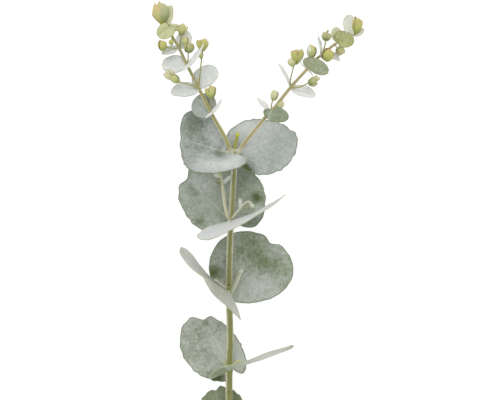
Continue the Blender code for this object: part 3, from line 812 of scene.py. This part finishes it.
def shoot_stems(name, line, radii, stalks, skins):
    """The shoot's stem, faintly ridged, and the thin stalks of its buds, each with its own bark."""
    start, end = radii
    main = rod(name, 16, 90)
    sweep(main, through(line, 1.0), lambda p, a, t: (start + (end - start) * t) * (1 + 0.05 * cos(4 * a)))
    coat(main, skins[0])
    made = [main]
    for i, stalk in enumerate(stalks):
        twig = rod(f"{name}_stalk_{i}", 10, 14)
        sweep(twig, through(stalk, 0.8), lambda p, a, t: STALK * (1.25 - 0.5 * t + 0.5 * t ** 6))
        coat(twig, skins[1])
        made.append(twig)
    return together(name, made)


def young_skin(name, wax, flesh, edge_colour, ground=0.3, rib=(214, 217, 196)):
    return blade_skin("young_" + name, wax, flesh, edge_colour, ground, rib=rib, spacing=YOUNG_VEINS,
                      clouds=0.6, margin=0.6)


YOUNG_LOOKS = {
    "white": ((242, 243, 242), (222, 226, 220), (206, 211, 192)),
    "silver": ((226, 229, 226), (200, 206, 199), (190, 196, 176)),
    "blue": ((178, 186, 178), (146, 156, 146), (152, 160, 136)),
    "dark": ((158, 167, 146), (116, 130, 98), (134, 128, 92), 0.5),
    "sage": ((182, 188, 162), (140, 150, 112), (142, 134, 96), 0.45, (176, 178, 120)),
    "lime": ((188, 194, 142), (146, 156, 88), (164, 138, 92), 0.4, (170, 176, 100)),
    "cream": ((222, 224, 192), (196, 200, 146), (196, 194, 142), 0.35),
    "fresh": ((206, 210, 170), (180, 186, 128), (176, 168, 96), 0.4, (158, 154, 70)),
    "blush": ((228, 231, 218), (212, 216, 194), (214, 192, 160), 0.3),
}
YOUNG_SKINS = {name: young_skin(name, *look) for name, look in YOUNG_LOOKS.items()}


def young_leaves(name, leaves):
    """Small blades, each with the skins of its two faces."""
    made = []
    for i, (top, under, leaf) in enumerate(leaves):
        blade = disc(f"{name}_{i}", YOUNG_SPOKES, YOUNG_RINGS)
        shape_blade(blade, leaf, relief=young_relief)
        thicken(blade, leaf.thickness)
        coat(blade, *(YOUNG_SKINS[skin] for skin in (top, under, under)))
        made.append(blade)
    return together(name, made)


def bud_skin(name, foot, body, lip, dark, flush=0.7):
    """A scale or bud: green at its foot, yellow-green above, its lip flushed with pink."""
    make = Finish("bud_" + name, 0.5, 0.4, 0.1)
    foot, body, lip, dark = (paint(*colour) for colour in (foot, body, lip, dark))
    along, _, share = make.read("bud_place")
    mottle = make.noise(1.1 * MM, 3, 0.6)
    blush = make.noise(2.2 * MM, 2, 0.5)
    warped = make.stir(along, mottle, 0.35)
    colour = make.mix(make.ramp(warped, 0.05, 0.62), foot, body)
    colour = make.mix(make.ramp(mottle, 0.46, 0.7, 0, 0.6), colour, dark)
    tipped = make.stir(warped, blush, 0.6)
    colour = make.mix(make.ramp(tipped, 0.8, 1.06, 0, flush), colour, lip)
    lips = make.times(make.ramp(share, 0.8, 0.96, 0, flush), make.ramp(warped, 0.3, 0.7))
    colour = make.mix(lips, colour, lip)
    return make.done(colour, mottle, 0.12, make.ramp(mottle, 0.3, 0.7, 0.42, 0.6))


BUD_LOOKS = {
    "fresh": ((158, 166, 98), (198, 200, 134), (206, 178, 138), (164, 170, 92)),
    "yellow": ((156, 164, 82), (190, 192, 108), (214, 176, 138), (160, 166, 78)),
    "pale": ((176, 182, 120), (210, 212, 166), (224, 200, 176), (184, 188, 130)),
    "olive": ((134, 145, 74), (180, 186, 130), (206, 178, 146), (140, 150, 86)),
    "sage": ((124, 136, 52), (180, 187, 142), (206, 184, 136), (146, 157, 80)),
    "flush": ((150, 153, 62), (199, 195, 128), (216, 184, 136), (182, 176, 92), 0.8),
    "white": ((206, 212, 188), (222, 226, 214), (224, 214, 198), (200, 206, 186), 0.4),
    "bright": ((176, 182, 70), (192, 200, 64), (196, 200, 84), (170, 180, 52), 0.3),
    "rod": ((206, 208, 186), (214, 216, 194), (196, 196, 160), (190, 192, 164), 0.3),
}
BUD_SKINS = {name: bud_skin(name, *look) for name, look in BUD_LOOKS.items()}


@dataclass
class Bud:
    """A bud grown from `at`, with its scales' skin and how it is turned about its own axis.

    `flare` makes it fuller towards its tip.  `wing` is the side where a pale
    outer scale stands: 0 is left and 180 right of the way it points.
    """
    at: tuple
    heading: float
    rise: float
    length: float
    width: float
    look: str = "fresh"
    flare: float = 0.1
    kind: str = "closed"
    turn: float = 20
    wing: float = None


SCALE_RINGS = (0.88, 0.7, 0.46, 0.22)
SCALE = 0.25                          # thickness of a scale
CORE_FILL, CORE_TALL = 0.88, 0.96     # how much of the bud its core takes
WING = (62, 0.06, 1.03)
# the scales of each kind of bud: how far round it each stands, half the angle it
# wraps, how far it turns out and how tall it is, the last three as in the wing
SCALES = {
    "closed": ((0, 80, 0.04, 1.0), (180, 80, 0.07, 0.9)),
    "crown": ((0, 44, 0.2, 0.92), (85, 42, 0.12, 1.0), (170, 44, 0.2, 0.9), (265, 42, 0.14, 0.86)),
    "tip": ((0, 74, 0.02, 0.98), (120, 70, 0.0, 0.92), (240, 74, 0.02, 0.94)),
    "peg": (),
}


def pointed(at, heading, rise):
    ahead = Vector((cos(radians(heading)) * cos(radians(rise)), sin(radians(heading)) * cos(radians(rise)),
                    sin(radians(rise))))
    return Matrix.Translation(Vector(at)) @ ahead.to_track_quat("Z", "Y").to_matrix().to_4x4()


def bud_core(name, place, plan, skin):
    """The closed bud: an egg, faintly ribbed."""
    bpy.ops.mesh.primitive_uv_sphere_add(segments=18, ring_count=12, radius=0.5)
    core = bpy.context.object
    core.name = name
    width = plan.width * (1 if plan.kind == "peg" else CORE_FILL)
    places = []
    for corner in core.data.vertices:
        height = corner.co.z + 0.5
        angle = atan2(corner.co.y, corner.co.x)
        round_it = (1 + plan.flare * (2 * height - 1)) * (1 + 0.04 * cos(5 * angle))
        places.append((height, 0.5 * sin(angle), 0))
        corner.co = place @ Vector((corner.co.x * width * round_it, corner.co.y * width * round_it,
                                    height * plan.length * CORE_TALL))
    keep(core, "bud_place", places)
    coat(core, BUD_SKINS[skin])
    return core


def scale_leaf(name, place, plan, turn, wrap, spread, tall, skin):
    """A cupped scale that wraps the bud from its foot to its tip."""
    thing = disc(name, 24, SCALE_RINGS)
    length = plan.length * tall
    places = []
    for corner in thing.data.vertices:
        across, along = corner.co.x, (corner.co.y + 1) / 2
        out = 0.53 * plan.width * (1 + plan.flare * (2 * along - 1))
        out = out * sin(pi * (0.08 + 0.84 * along)) ** 0.65 + spread * length * along ** 3
        angle = radians(wrap) * across
        places.append((along, across, corner.co.xy.length))
        corner.co = Vector((out * cos(angle), out * sin(angle),
                            length * (along + 0.03 * along * sin(7 * angle + turn))))
    thing.data.transform(place @ Matrix.Rotation(radians(turn), 4, "Z"))
    keep(thing, "bud_place", places)
    face_out(thing)
    thicken(thing, SCALE)
    coat(thing, BUD_SKINS[skin])
    for face in thing.data.polygons:
        face.material_index = 0
    return thing


def buds(name, plans):
    """Buds with the scales that enclose them."""
    made = []
    for i, plan in enumerate(plans):
        place = pointed(plan.at, plan.heading, plan.rise)
        looks = {"tip": ("flush", "sage", "fresh")}.get(plan.kind, (plan.look,) * 4)
        made.append(bud_core(f"{name}_{i}", place, plan, plan.look))
        for j, (turn, *shape) in enumerate(SCALES[plan.kind]):
            made.append(scale_leaf(f"{name}_{i}_{j}", place, plan, plan.turn + turn, *shape, looks[j]))
        if plan.wing is not None:
            made.append(scale_leaf(f"{name}_{i}_wing", place, plan, plan.wing, *WING, "white"))
    return together(name, made)


def dress_shoot(node, line, radii, green, wax, plans, marks=(), stalks=(), leaves=()):
    """One shoot: stems, small leaves and buds, each a piece of its own."""
    skins = (bark(node + "_bark", green, wax, 0.62, FEW_SPOTS, marks), TWIG)
    made = [shoot_stems(node + "_stems", line, radii, stalks, skins)]
    face_out(made[0])
    if leaves:
        made.append(young_leaves(node + "_leaves", leaves))
    made.append(buds(node + "_buds", plans))
    for piece in made:
        finish_piece(piece, node)


dress_shoot(
    "left_shoot",
    line=[(-14.6, 62.8, 16.2), (-16.2, 64.9, 17.2), (-19, 72, 18.3), (-22.3, 78, 18.8),
          (-28.2, 88.4, 19.4), (-35.7, 103.4, 19.4), (-39.4, 110.8, 19), (-42.6, 117, 18.6),
          (-47.4, 127.2, 17.9), (-51.6, 134.4, 17.4), (-54, 139.2, 17), (-58.3, 149.5, 16.4)],
    radii=(1.3, 0.7), green=(160, 156, 94), wax=(212, 207, 174),
    marks=[((-15.4, 64.6, 17), 1, 4.5, (196, 196, 172))],
    stalks=[
        [(-28.4, 88.4, 19.4), (-28.4, 92.5, 20.4), (-27.9, 97.4, 21)],
        [(-36.2, 103.2, 19.4), (-42, 105.2, 20.4), (-47.7, 106.8, 20.8)],
        [(-35.6, 104.2, 19.4), (-34.6, 112, 21.4), (-33.2, 125.4, 22)],
        [(-42.2, 117.6, 18.6), (-41.8, 121.4, 20), (-41.9, 124.8, 20.4)],
        [(-47.8, 126.8, 18), (-50.8, 126.9, 19), (-56, 127.4, 19.4)],
        [(-46.9, 127.6, 17.8), (-46.4, 131.8, 18.8), (-45.8, 135.6, 19.2)],
        [(-51.4, 133.4, 17.4), (-51.8, 130.8, 18.6), (-51.6, 129.6, 19.4)]],
    leaves=[
        ("blue", "silver", young_leaf((-27.4, 87.4, 18.6), 134, 14.5, 15.8, -12, seed=1)),
        ("white", "white", young_leaf((-28.2, 88.6, 19.8), -45, 14, 16.2, 80, behind=1, side=2.6,
                                      point=0.5, seed=2)),
        ("silver", "white", young_leaf((-34.8, 102.2, 19), 185, 17.6, 14, -4, roll=50, seed=3)),
        ("silver", "silver", young_leaf((-35.4, 102.8, 18.8), 37, 17.4, 13.4, -6, roll=-24,
                                        behind=1.4, side=3.6, seed=4)),
        ("silver", "white", young_leaf((-42.6, 117.2, 18.2), 182, 15, 13, -4, roll=30, seed=5)),
        ("white", "white", young_leaf((-42.2, 117.6, 18.9), -44, 13, 20.6, 75, side=5, seed=6)),
        ("silver", "silver", young_leaf((-47.4, 127.2, 17.6), 199, 11, 10, -2, roll=58, seed=7)),
        ("white", "white", young_leaf((-47.4, 127.2, 17), 60, 11.5, 9.4, -8, seed=8)),
        ("fresh", "fresh", young_leaf((-53.3, 139.8, 17.8), -143, 12.4, 9.8, 10, behind=3.4,
                                      side=0.8, seed=9)),
        ("cream", "cream", young_leaf((-54.6, 140.6, 16.8), 79, 12.4, 6.4, 4, roll=-28, seed=10)),
        ("cream", "fresh", young_leaf((-54, 140.4, 17), -14, 7.4, 4.4, seed=26))],
    plans=[
        Bud((-27.9, 96.7, 21), 84, 8, 7.9, 4.4, turn=40),
           Bud((-28.4, 97, 20.8), 112, 12, 6.6, 3, "yellow"),
           Bud((-47.3, 106.4, 20.8), 140, 6, 6.6, 4.6, turn=60),
           Bud((-50.2, 108.9, 21), 144, 6, 6.8, 5.6, "pale", turn=10),
           Bud((-33.2, 124.8, 22), 90, 4, 7.6, 6, "yellow", flare=0.25, kind="crown", turn=30, wing=185),
           Bud((-33.8, 120.4, 21.8), 100, 14, 3.4, 2.4, flare=0.4, kind="crown"),
           Bud((-42, 124, 20.4), 78, 6, 6.8, 6, "olive", turn=-20),
           Bud((-43.2, 127.8, 20.6), 92, 6, 6.2, 3.6, turn=50),
           Bud((-57.2, 125.3, 19), 92, 6, 6.4, 5, "yellow", flare=0.15, turn=-40),
           Bud((-46, 134.4, 19.2), 82, 6, 7.4, 5, flare=0.45, kind="crown", turn=10),
           Bud((-51.6, 128.8, 19.2), 104, 24, 3.6, 3, "yellow", kind="peg"),
           Bud((-56.8, 140.6, 16.4), 99, 3, 14.2, 8.4, flare=0.45, kind="tip", turn=20),
           Bud((-57.4, 140.8, 17.2), 109, 6, 12, 5.8, "flush", flare=0.6, turn=100),
           Bud((-59.2, 152.2, 17.6), 84, 10, 3.2, 1.5, "flush", kind="peg")])

dress_shoot(
    "right_shoot",
    line=[(-13.4, 62.8, 15.8), (-11.7, 64.9, 16.2), (-9.4, 68.4, 16.6), (-4.6, 74.6, 17.2),
          (3.4, 84.4, 17.8), (7.6, 88.8, 18), (10.8, 92.4, 18), (19.8, 103.8, 17.8), (31.2, 116.4, 17.2),
          (35.7, 121.2, 16.8), (38.4, 123, 16.6), (43.2, 127.2, 16.2), (46.2, 129.6, 16),
          (51.6, 132.6, 15.7), (57.6, 136.2, 15.4)],
    radii=(1.3, 0.7), green=(170, 161, 108), wax=(218, 206, 186),
    marks=[((-12.4, 64.8, 17), 1, 5, (204, 200, 180))],
    stalks=[
        [(7.8, 89.4, 18), (8.2, 93.6, 19), (9.2, 96.6, 19.4)],
        [(19.4, 103.6, 17.8), (19.4, 108, 18.8), (21.5, 116.8, 19.4)],
        [(20.4, 103.4, 17.8), (24.8, 103.6, 18.8), (30.6, 106.2, 19.2)],
        [(31, 116.8, 17.4), (31.2, 119.2, 18.4), (31.8, 122, 18.8)],
        [(38.6, 123.4, 16.8), (40, 128.4, 18), (40.6, 131.8, 18.4)],
        [(45.6, 129.2, 16), (47.2, 127.8, 17.2), (48, 127, 17.6)],
        [(38.2, 122, 16.8), (39.6, 120.6, 17.8), (41, 120.6, 18.4)]],
    leaves=[
        ("dark", "silver", young_leaf((8, 90.4, 19), -111, 9.8, 16.4, 20, behind=2.65, side=3.6,
                                      seed=11)),
        ("white", "white", young_leaf((6.8, 88.8, 17.4), 133, 11, 10, 6, roll=70, point=0.6,
                                      seed=12)),
        ("white", "white", young_leaf((19.4, 103.6, 17.8), 117, 19.4, 14, 8, roll=80, behind=3.7,
                                      point=0.7, seed=13)),
        ("white", "silver", young_leaf((19.6, 102.6, 17.4), -14, 15.5, 12, -8, roll=-54, seed=14)),
        ("sage", "white", young_leaf((30.6, 114.8, 17.9), 66.4, 9.2, 17.2, 22, behind=1.3,
                                     side=-3.2, seed=15)),
        ("white", "white", young_leaf((30.2, 114.9, 16.9), -136, 8, 12, -86, seed=16)),
        ("white", "white", young_leaf((38.4, 120.4, 16.6), 100, 14, 8.4, 8, roll=76, point=0.6,
                                      seed=17)),
        ("white", "white", young_leaf((43.2, 125.2, 16), -44, 8.6, 4, -12, point=0.7, seed=18)),
        ("lime", "cream", young_leaf((47.6, 131, 16.8), -14, 13.4, 10, 12, behind=3.4, side=2.2,
                                     seed=19)),
        ("cream", "cream", young_leaf((47.4, 131, 15.6), 94, 8.8, 6.6, -4, seed=20)),
        ("blush", "blush", young_leaf((56.4, 134.6, 16.6), 103, 12.8, 9.4, 13, roll=24, seed=27)),
        ("blush", "cream", young_leaf((56.8, 134.8, 15.2), 29, 7.8, 6, -2, roll=-35, seed=28))],
    plans=[
        Bud((9, 95.6, 19.3), 74, 8, 6.4, 4.4, "pale", turn=40),
           Bud((10.6, 92.8, 17.6), 4, 10, 5.2, 3.4, "pale", turn=70),
           Bud((12.4, 93.4, 18), 10, 30, 3.8, 3, "pale"),
           Bud((21.3, 116, 19.3), 112, 8, 5.4, 4.6, "pale", turn=60),
           Bud((22.8, 117, 19.5), 84, 10, 9.6, 5.8, "yellow", flare=0.5, kind="crown", turn=50, wing=200),
           Bud((23.4, 118, 19.4), 62, 12, 7, 3.2, "white"),
           Bud((30, 105.9, 19.1), 14, 8, 6, 5.2, "olive", turn=20),
           Bud((34, 107.4, 19.3), 52, 10, 3.6, 2.8, "pale", flare=0.3, kind="crown"),
           Bud((31.7, 121, 18.7), 84, 6, 8, 5.4, turn=60, wing=20),
           Bud((40.4, 119.2, 18.2), 68, 8, 8, 6.6, "yellow", turn=-60),
           Bud((40.5, 131.2, 18.3), 82, 6, 5.6, 5.2, "olive", turn=0),
           Bud((41, 135.8, 18.9), 62, 6, 2.6, 1.4, "olive", kind="peg"),
           Bud((47.8, 127.5, 17.6), -58, 8, 5.4, 5.2, "olive", turn=30),
           Bud((57.6, 135.4, 15.4), 74, 6, 10.6, 5.8, "yellow", flare=0.3, turn=-20)])


# Terminal bud
# The branch's own tip, which stopped growing where it forked: a short olive
# stalk with a round, bright green end between the two shoots.

dress_shoot(
    "terminal_bud",
    line=[(-14.1, 63.4, 15.8), (-14.1, 64.9, 16.5), (-13.4, 70, 17.3), (-12.3, 74.6, 18.1)],
    radii=(0.95, 1.0), green=(154, 156, 70), wax=(184, 186, 106),
    plans=[Bud((-12.7, 73, 17.7), 78, 12, 3.9, 2.3, "bright", kind="peg")])


# Side sprouts
# Young shoots just starting in the angle between the stem and the upper leaf
# pairs: pale, soft, and tipped with a few leaves no bigger than a grain of rice.
# At the fourth pair they are no more than two knobs.

dress_shoot(
    "second_sprout_left",
    line=[(-17.2, 24.6, 14.6), (-18.3, 26.4, 15.6), (-19.8, 33, 16.4), (-21.3, 45, 17.4),
          (-22.6, 51.6, 17.8)],
    radii=(0.95, 0.7), green=(206, 202, 166), wax=(228, 225, 200),
    leaves=[("sage", "white", young_leaf((-20.8, 45.8, 17.6), 158, 5.2, 3, 8, roll=12, seed=21)),
            ("white", "white", young_leaf((-21.3, 46, 17.5), 38, 7, 3.4, 6, roll=-50, seed=22)),
            ("white", "white", young_leaf((-22.3, 50, 17.7), 150, 5, 3.6, 10, seed=23))],
    plans=[Bud((-22.4, 50.6, 17.7), 104, 10, 3.6, 2.2, "pale")])
dress_shoot(
    "second_sprout_right",
    line=[(-15.6, 24.8, 14.8), (-14.5, 26.2, 15.7), (-12.6, 28.6, 16.6), (-10.4, 31, 17.4),
          (-8.2, 33.6, 18.4), (-5.6, 35, 19), (-4, 33.2, 19)],
    radii=(0.85, 0.6), green=(204, 204, 176), wax=(230, 229, 212),
    leaves=[("white", "white", young_leaf((-10.6, 30.8, 17.3), 92, 6.4, 3, 12, roll=50, seed=24)),
            ("sage", "sage", young_leaf((-9.6, 32, 17.8), -14, 5, 3.2, 2, roll=-50, seed=25))],
    plans=[Bud((-4.6, 34, 19), -60, 0, 3.4, 2.2, "white")])
dress_shoot(
    "third_sprout_right",
    line=[(-16, -18.4, 11.4), (-14.8, -16.6, 12.3), (-12.8, -12.6, 13.6), (-10.6, -7.4, 14.6)],
    radii=(1.05, 1.15), green=(202, 203, 178), wax=(224, 224, 208),
    plans=[Bud((-11.2, -8.8, 14.3), 68, 20, 4, 3, "rod", kind="peg")])
dress_shoot(
    "third_sprout_left",
    line=[(-18.4, -17.6, 11.6), (-20, -16.6, 12.5), (-22.4, -15, 13.6), (-24.8, -13, 14.2)],
    radii=(0.85, 0.8), green=(200, 201, 178), wax=(220, 220, 204),
    plans=[Bud((-24.3, -13.4, 14), 140, 12, 2.6, 2.4, "rod", kind="peg")])

knobs = buds("fourth_knobs", [Bud((-18.4, -63.6, 9.2), 126, 14, 4.8, 1.7, "pale", flare=0.25, kind="peg"),
                              Bud((-15.8, -63.2, 9.4), 25, 12, 6.4, 1.9, "pale", flare=0.25, kind="peg")])
finish_piece(knobs, "main_stem")


# Table, light and camera
# A plain white table in a soft white surround, brighter from the tips' end, and
# a camera straight above that frames the upper part of the branch.

CAMERA_HEIGHT = 1.5
VIEW_WIDTH = 0.3          # what 36 mm of film covers at the stem's height
STEM_LEVEL = 0.016
VIEW_MIDDLE = (-0.0048, 0.036)
TABLE_DROP = 0.0002

bpy.ops.mesh.primitive_plane_add(size=6, location=(0, 0, -TABLE_DROP))
table = bpy.context.object
table.name = "table"
white = Finish("table_white", 0.9, 0.1)
grain = white.noise(0.02, 2)
white.shader.inputs["Emission Color"].default_value = (1, 1, 1, 1)
white.shader.inputs["Emission Strength"].default_value = 0.84
coat(table, white.done(white.mix(grain, (0.25, 0.25, 0.25), (0.26, 0.26, 0.26))))

world = bpy.data.worlds.new("white_tent")
world.use_nodes = True
world.node_tree.nodes["Background"].inputs["Color"].default_value = (1, 1, 1, 1)
world.node_tree.nodes["Background"].inputs["Strength"].default_value = 0.92
bpy.context.scene.world = world


def soft_light(name, place, size, power):
    """A square soft light that faces the branch."""
    lamp = bpy.data.lights.new(name, "AREA")
    lamp.shape = "SQUARE"
    lamp.size = size
    lamp.energy = power
    light = bpy.data.objects.new(name, lamp)
    light.location = place
    light.rotation_mode = "QUATERNION"
    light.rotation_quaternion = (Vector((0, 0, 0.02)) - Vector(place)).to_track_quat("-Z", "Y")
    bpy.context.scene.collection.objects.link(light)


soft_light("tips_end_light", (0.15, 1.3, 1.3), 1.4, 9)
soft_light("left_fill", (-1.2, -0.2, 1.2), 1.4, 3.2)

film = bpy.data.cameras.new("camera")
film.sensor_width = 36
film.lens = film.sensor_width * (CAMERA_HEIGHT - STEM_LEVEL) / VIEW_WIDTH
camera = bpy.data.objects.new("camera", film)
camera.location = (*VIEW_MIDDLE, CAMERA_HEIGHT)
bpy.context.scene.collection.objects.link(camera)
bpy.context.scene.camera = camera
bpy.context.scene.view_settings.view_transform = "Standard"
